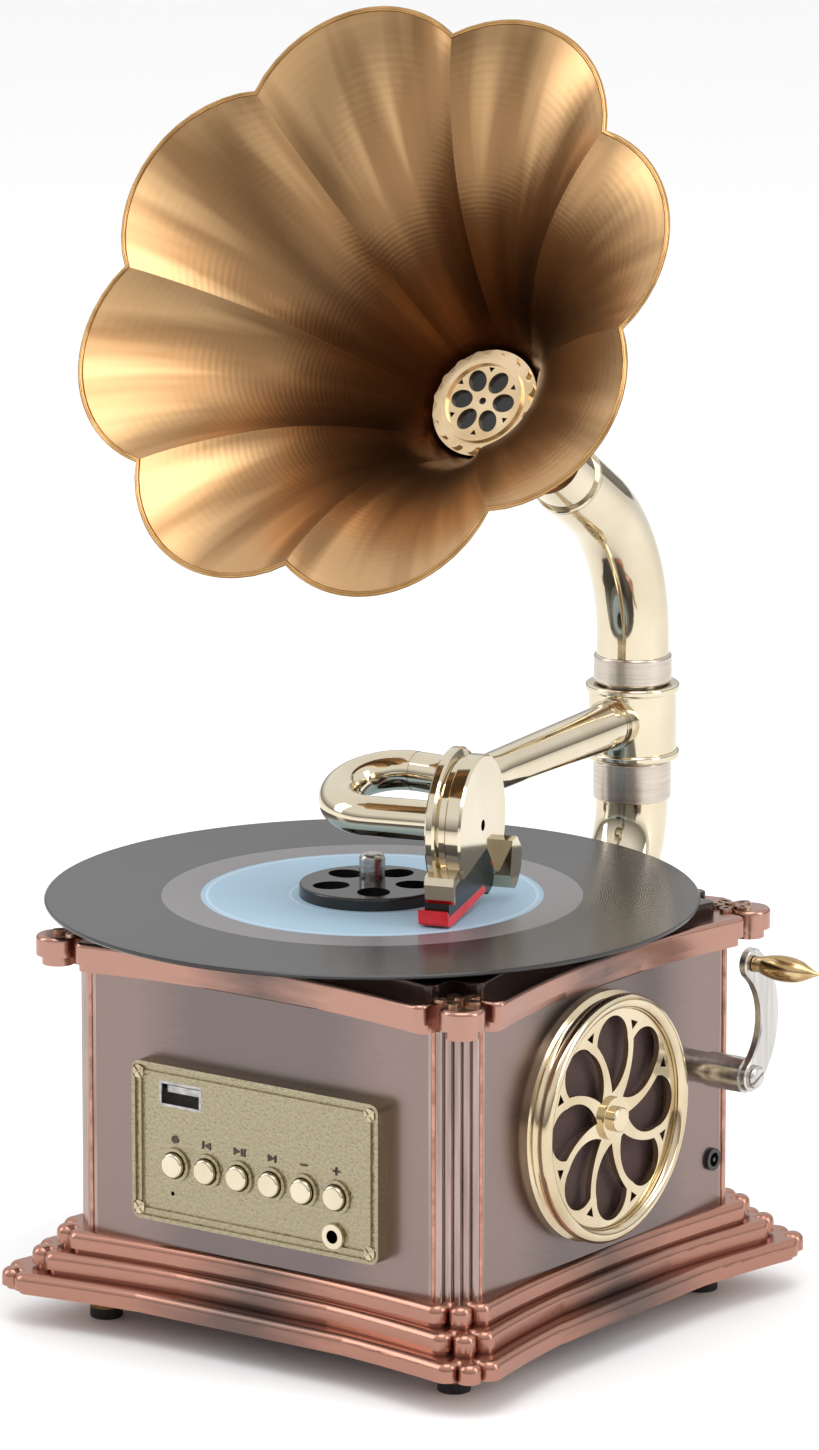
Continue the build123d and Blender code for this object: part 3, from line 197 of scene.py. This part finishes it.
# Drive: a motor under a moulded chassis, a turned pulley and a rubber belt to the platter.
# The platter's steel shaft runs in a flanged bearing.
turned_steel = grained("turned steel", rgb(190, 188, 186), rgb(150, 148, 146), (400, 400, 1200),
                       roughness=0.25)
dress(dark_moulding, "chassis_plate", "platter")
dress(turned_steel, "platter_bearing", "motor", "motor_pulley", "spindle")
dress(pad_rubber, "drive_belt", "platter_mat")

# Record: pressed black vinyl, finely grooved, with a smooth run-out ring painted lighter grey as a painted
# sheen.
# A pale blue paper label with plain printed rings is pressed into it.
centre_x, centre_y = -0.0073, -0.0050


def from_spindle(tree):
    """The distance from the spindle, in metres, as a node output."""
    place = tree.nodes.new("ShaderNodeTexCoord").outputs["Object"]
    shifted = link_node(tree, "VectorMath", place, (centre_x, centre_y, 0), operation="SUBTRACT")
    flat = link_node(tree, "VectorMath", shifted, (1, 1, 0), operation="MULTIPLY")
    return link_node(tree, "VectorMath", flat, operation="LENGTH", output="Value")


def carve(tree, shader, distance, density, strength):
    """Fine round grooves across a distance, this many radians to the metre."""
    wave = link_node(tree, "Math", distance, density, operation="MULTIPLY")
    ripple = link_node(tree, "Math", wave, operation="SINE")
    bump = tree.nodes.new("ShaderNodeBump")
    bump.inputs["Strength"].default_value = strength
    bump.inputs["Distance"].default_value = 0.0001
    tree.links.new(ripple, bump.inputs["Height"])
    tree.links.new(bump.outputs["Normal"], shader.inputs["Normal"])


def ringed(name, rings, reach, roughness, grooves=0.0):
    """A finish in rings: each is (radius where it starts, colour); grooves cut it finely."""
    material, tree, shader = surface(name, rings[0][1], 0.0, roughness)
    distance = from_spindle(tree)
    scaled = link_node(tree, "Math", distance, reach, operation="DIVIDE")
    ramp = tree.nodes.new("ShaderNodeValToRGB")
    ramp.color_ramp.interpolation = "CONSTANT"
    stops = ramp.color_ramp.elements
    while len(stops) < len(rings):
        stops.new(1)
    for stop, (radius, colour) in zip(stops, rings):
        stop.position = radius / reach
        stop.color = colour
    tree.links.new(scaled, ramp.inputs["Fac"])
    tree.links.new(ramp.outputs["Color"], shader.inputs["Base Color"])
    if grooves:
        carve(tree, shader, distance, grooves, 0.12)
    return material


# The light run-out grey is a painted sheen on the glossy black vinyl.
groove_grey, runout_sheen_grey = rgb(46, 44, 45), rgb(118, 114, 117)
vinyl = ringed("vinyl", ((0, runout_sheen_grey), (0.0560, rgb(38, 36, 37)), (0.0572, groove_grey),
                         (0.0700, rgb(36, 34, 35)), (0.0704, groove_grey), (0.0850, rgb(40, 38, 39))),
               0.1, 0.2, 9000)
label_blue, label_pale = rgb(164, 194, 215), rgb(190, 212, 228)
label_paper = ringed("label paper", ((0, label_blue), (0.0215, label_pale), (0.0222, label_blue),
                                     (0.0436, label_pale), (0.0444, label_blue)), 0.05, 0.6)
dress(vinyl, "record")
dress(label_paper, "record_label")

# Centre adapter: moulded gloss black plastic with spokes.
# It is pressed into the record's wide hole.
gloss_black = grained("gloss black", rgb(30, 29, 29), rgb(22, 21, 21), (200, 200, 200), 0.0, 0.22, 0.0)
dress(gloss_black, "adapter")

# Control panel: a cast plate in hammered champagne finish with a double rim.
# Four cross-head screws hold it, and a small raised sign stands above each button.
hammered = grained("hammered champagne", rgb(172, 162, 136), rgb(150, 140, 114), (1100, 1100, 1100),
                   roughness=0.24, depth=0.14, spread=(0.3, 0.7))
screw_metal = grained("screw metal", rgb(214, 200, 170), rgb(160, 146, 120), (300, 300, 300), roughness=0.25)
dress(hammered, "control_panel")
dress(screw_metal, "panel_screws")

panel_face = -0.0648 - 0.0043
button_first, button_pitch, sign_height = -0.0248, 0.01056, 0.0570
sign_ink = grained("sign ink", rgb(88, 70, 58), rgb(66, 52, 44), (500, 500, 500), 0.4, 0.45)


def plate(name, shapes, depth, material, body):
    """Flat raised shapes on the panel, each a ring of (x, z) corners."""
    corners, faces = [], []
    for shape in shapes:
        first, count = len(corners), len(shape)
        corners += [(x, panel_face + 0.00002, z) for x, z in shape]
        corners += [(x, panel_face - depth, z) for x, z in shape]
        faces.append([first + count + step for step in range(count)])
        faces.append([first + count - 1 - step for step in range(count)])
        faces += [[first + step, first + (step + 1) % count,
                   first + count + (step + 1) % count, first + count + step]
                  for step in range(count)]
    mesh = bpy.data.meshes.new(name)
    mesh.from_pydata(corners, [], faces)
    mesh.materials.append(material)
    piece = bpy.data.objects.new(name, mesh)
    bpy.context.collection.objects.link(piece)
    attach(piece, body)
    return piece


def triangle(x, size, way):
    return [(x - way * size / 2, sign_height - size / 2), (x + way * size / 2, sign_height),
            (x - way * size / 2, sign_height + size / 2)][::way]


def bar(x, wide, high):
    return [(x - wide / 2, sign_height - high / 2), (x + wide / 2, sign_height - high / 2),
            (x + wide / 2, sign_height + high / 2), (x - wide / 2, sign_height + high / 2)]


sign = 0.0020
signs = (
    [[(cos(turn * pi / 8) * 0.0011, sign_height + sin(turn * pi / 8) * 0.0011) for turn in range(16)]],
    [triangle(0.0001, sign, -1), bar(-0.0013, 0.0005, sign)],
    [triangle(-0.0007, sign, 1), bar(0.0009, 0.0005, sign), bar(0.0018, 0.0005, sign)],
    [triangle(-0.0001, sign, 1), bar(0.0013, 0.0005, sign)],
    [bar(0, 0.0022, 0.0005)],
    [bar(0, 0.0022, 0.0005), bar(0, 0.0005, 0.0022)],
)
for index, shapes in enumerate(signs):
    centre = button_first + index * button_pitch
    plate(f"sign_{index + 1}", [[(x + centre, z) for x, z in shape] for shape in shapes],
          0.00025, sign_ink, "cabinet")

# Buttons: six turned caps, plated and polished pale gold.
# Each stands on its own switch and presses in a little.
pale_gold = grained("polished pale gold", rgb(220, 209, 186), rgb(206, 193, 166), (40, 40, 40),
                    roughness=0.08, depth=0.0, spread=(0.3, 0.7))
dress(pale_gold, "button_mode", "button_previous", "button_play", "button_next",
      "button_quieter", "button_louder")

# Sockets: a pressed steel USB shell, a turned audio socket and the board behind them.
board_green = grained("board green", rgb(22, 70, 46), rgb(16, 52, 34), (300, 300, 300), 0.0, 0.4)
dress(turned_steel, "usb_socket")
dress(pale_gold, "audio_jack")
dress(board_green, "circuit_board")

# Speaker: a rolled bezel and a cut petal grille, both plated, over dark woven cloth.
# The driver is screwed to the wall from inside.
cloth = grained("speaker cloth", rgb(92, 70, 66), rgb(50, 36, 34), (2600, 2600, 2600), 0.0, 0.9, 0.06)
grille_gold = grained("grille gold", rgb(218, 203, 174), rgb(198, 180, 148), (60, 60, 60),
                      roughness=0.12, depth=0.0)
dress(grille_gold, "speaker_bezel", "speaker_grille")
dress(cloth, "speaker_cloth")
dress(dark_moulding, "speaker_driver")

# Power inlet: a moulded black barrel with a centre pin.
# It is pushed into the right wall from outside.
dress(gloss_black, "power_inlet")

# Crank: a brushed steel shaft, sleeve and curved arm, held by one screw.
# The handle is turned brass and spins on a pin.
crank_steel = grained("crank steel", rgb(206, 203, 200), rgb(186, 182, 178), (600, 600, 40),
                      roughness=0.25, depth=0.004)
handle_brass = grained("handle brass", rgb(212, 186, 140), rgb(166, 134, 90), (60, 500, 500),
                       roughness=0.2)
dress(crank_steel, "crank_bearing", "crank_shaft", "crank_arm", "crank_screw")
dress(handle_brass, "crank_handle")

# Pipe: a bent tube, plated pale gold, from a flange on the back wall to the pivot post.
# Brushed nickel bands close the joints above and below the tonearm.
band_nickel = grained("band nickel", rgb(206, 196, 184), rgb(186, 175, 162), (60, 60, 2400),
                      roughness=0.26, depth=0.006)
dress(pale_gold, "lower_elbow", "upper_elbow", "horn_ferrule")
dress(turned_steel, "pivot_post")
dress(band_nickel, "lower_band", "upper_band")

# Tonearm: a plated collar that turns on the post.
# A tapered tube with a bent end is soldered to it.
dress(pale_gold, "arm_collar", "arm_tube")

# Head: a bent tube that tips on a pin, and a cast soundbox with stepped rings.
# A black cartridge sits in its notch, with a red guard round the steel stylus.
guard_red = grained("guard red", rgb(226, 38, 44), rgb(206, 28, 34), (200, 200, 200), 0.0, 0.3, 0.0)
dress(pale_gold, "gooseneck", "soundbox")
dress(gloss_black, "cartridge")
dress(guard_red, "stylus_guard")
dress(turned_steel, "stylus")

# Horn: a spun bell of eight lobes in antique bronze, brushed round its axis.
# A rolled bead finishes the rim.
rim_bronze = grained("rim bronze", rgb(188, 148, 98), rgb(160, 122, 76), (100, 100, 100), roughness=0.25)
lean, yaw, elbow_bend = radians(57.9), radians(5.6), 0.0496
outward, upward = Vector((sin(yaw), -cos(yaw), 0)), Vector((0, 0, 1))
horn_axis = outward * sin(lean) + upward * cos(lean)
elbow_foot, elbow_straight = Vector((0, 0.1065, 0.1648)), 0.0154
elbow_mouth = (elbow_foot + outward * elbow_bend * (1 - cos(lean))
               + upward * elbow_bend * sin(lean) + horn_axis * elbow_straight)
horn_right = upward.cross(horn_axis).normalized()
horn_up = horn_axis.cross(horn_right)


def along_axis(tree, axis_vector):
    """The place along one direction, measured from the elbow's mouth, as a node output."""
    place = tree.nodes.new("ShaderNodeTexCoord").outputs["Object"]
    shifted = link_node(tree, "VectorMath", place, elbow_mouth, operation="SUBTRACT")
    return link_node(tree, "VectorMath", shifted, axis_vector, operation="DOT_PRODUCT",
                     output="Value")


horn_bronze, bronze_tree, bronze_shader = surface("horn bronze", rgb(170, 132, 86), 1.0, 0.3)
depth_in_horn = along_axis(bronze_tree, horn_axis)
across = link_node(bronze_tree, "CombineXYZ", along_axis(bronze_tree, horn_right),
                   along_axis(bronze_tree, horn_up))
around = link_node(bronze_tree, "VectorMath", across, operation="NORMALIZE")
drift = link_node(bronze_tree, "CombineXYZ", None, None, depth_in_horn)
drift = link_node(bronze_tree, "VectorMath", drift, (0, 0, 9), operation="MULTIPLY")
fan = link_node(bronze_tree, "VectorMath", around, (5.5, 5.5, 0), drift, operation="MULTIPLY_ADD")
streaks = bronze_tree.nodes.new("ShaderNodeTexNoise")
streaks.inputs["Scale"].default_value = 1
streaks.inputs["Detail"].default_value = 2.5
bronze_tree.links.new(fan, streaks.inputs["Vector"])
streak_share = link_node(bronze_tree, "MapRange", streaks.outputs["Fac"], 0.3, 0.7, -0.16, 0.13)
patina = link_node(bronze_tree, "Math", depth_in_horn, 8, streak_share, operation="MULTIPLY_ADD")
bronze_ramp = bronze_tree.nodes.new("ShaderNodeValToRGB")
tones = bronze_ramp.color_ramp.elements
tones[0].position, tones[0].color = 0.3, rgb(112, 80, 56)
tones[1].position, tones[1].color = 1.0, rgb(196, 158, 114)
for position, tone in ((0.6, rgb(124, 92, 62)), (0.86, rgb(146, 112, 76))):
    tones.new(position).color = tone
bronze_tree.links.new(patina, bronze_ramp.inputs["Fac"])
bronze_tree.links.new(bronze_ramp.outputs["Color"], bronze_shader.inputs["Base Color"])
carve(bronze_tree, bronze_shader, depth_in_horn, 5200, 0.05)
dress(horn_bronze, "horn_bell")

lobe_count, first_cusp, rim_distance = 8, radians(133.8), 0.1246
cusp_radius, lobe_radius = 0.0745, 0.0842
half_lobe = pi / lobe_count
half_chord, chord_reach = cusp_radius * sin(half_lobe), cusp_radius * cos(half_lobe)
rise = lobe_radius - chord_reach
arc_radius = (half_chord ** 2 + rise ** 2) / (2 * rise)
half_arc = atan2(half_chord, arc_radius - rise)
rim_points, steps = [], 14
for lobe in range(lobe_count):
    middle = first_cusp - (2 * lobe + 1) * half_lobe
    for step in range(steps):
        swing = half_arc - 2 * half_arc * step / steps
        reach = lobe_radius - arc_radius + arc_radius * cos(swing)
        sideways = arc_radius * sin(swing)
        rim_points.append(elbow_mouth + horn_axis * rim_distance
                          + horn_right * (reach * cos(middle) - sideways * sin(middle))
                          + horn_up * (reach * sin(middle) + sideways * cos(middle)))
bead_radius = 0.0007
rod("horn_rim_bead", rim_points, bead_radius, rim_bronze, "horn", closed=True)

# Throat: a cast scalloped ring and a pierced grille, both plated and polished.
throat_brass = grained("throat brass", rgb(232, 206, 168), rgb(210, 180, 138), (100, 100, 100),
                       roughness=0.14, depth=0.0)
dress(throat_brass, "throat_ring", "throat_grille")
dress(gloss_black, "horn_driver")

# Floor: a wide pale sheet under the object.
# It runs past every edge of the picture.
bpy.ops.mesh.primitive_plane_add(size=30)
floor = bpy.context.object
floor.name = "floor"
floor_white = surface("floor white", (0.92, 0.92, 0.92, 1), 0.0, 0.9)[0]
floor.data.materials.append(floor_white)

# Light: a bright even room that darkens toward the horizon.
# One broad soft lamp hangs above and one stands at each side.
world = bpy.data.worlds.new("room")
bpy.context.scene.world = world
world.use_nodes = True
room = world.node_tree
sky_place = room.nodes.new("ShaderNodeTexCoord")
sky_split = room.nodes.new("ShaderNodeSeparateXYZ")
sky_ramp = room.nodes.new("ShaderNodeValToRGB")
sky_ramp.color_ramp.elements[0].position = 0.0
sky_ramp.color_ramp.elements[0].color = (0.20, 0.19, 0.18, 1)
sky_ramp.color_ramp.elements[1].position = 0.35
sky_ramp.color_ramp.elements[1].color = (1, 1, 1, 1)
room.links.new(sky_place.outputs["Generated"], sky_split.inputs[0])
room.links.new(sky_split.outputs["Z"], sky_ramp.inputs["Fac"])
room.links.new(sky_ramp.outputs["Color"], room.nodes["Background"].inputs["Color"])
room.nodes["Background"].inputs["Strength"].default_value = 1.0


def lamp(name, place, aim, size, power):
    light = bpy.data.lights.new(name, "AREA")
    light.shape = "RECTANGLE"
    light.size, light.size_y = size
    light.energy = power
    holder = bpy.data.objects.new(name, light)
    holder.location = place
    holder.rotation_euler = (Vector(aim) - Vector(place)).to_track_quat("-Z", "Y").to_euler()
    bpy.context.collection.objects.link(holder)


lamp("top lamp", (0.3, -0.4, 1.6), (0, 0, 0.15), (1.2, 1.2), 12)
lamp("left lamp", (-1.4, -1.0, 0.9), (0, 0, 0.15), (0.5, 1.4), 8)
lamp("right lamp", (1.6, 0.4, 0.8), (0, 0, 0.15), (0.5, 1.4), 9)

# Camera: the photograph's own view.
# It looks from the front right and a little above.
camera_data = bpy.data.cameras.new("camera")
camera = bpy.data.objects.new("camera", camera_data)
bpy.context.collection.objects.link(camera)
camera_data.sensor_fit = "VERTICAL"
camera_data.sensor_height = 36
camera_data.lens = 215.7
camera_data.clip_end = 100
view_from, view_to = Vector((1.3227, -1.8205, 0.6713)), Vector((-0.0051, 0.0089, 0.1573))
camera.location = view_from
camera.rotation_euler = (view_to - view_from).to_track_quat("-Z", "Y").to_euler()
bpy.context.scene.camera = camera
bpy.context.scene.view_settings.view_transform = "Standard"
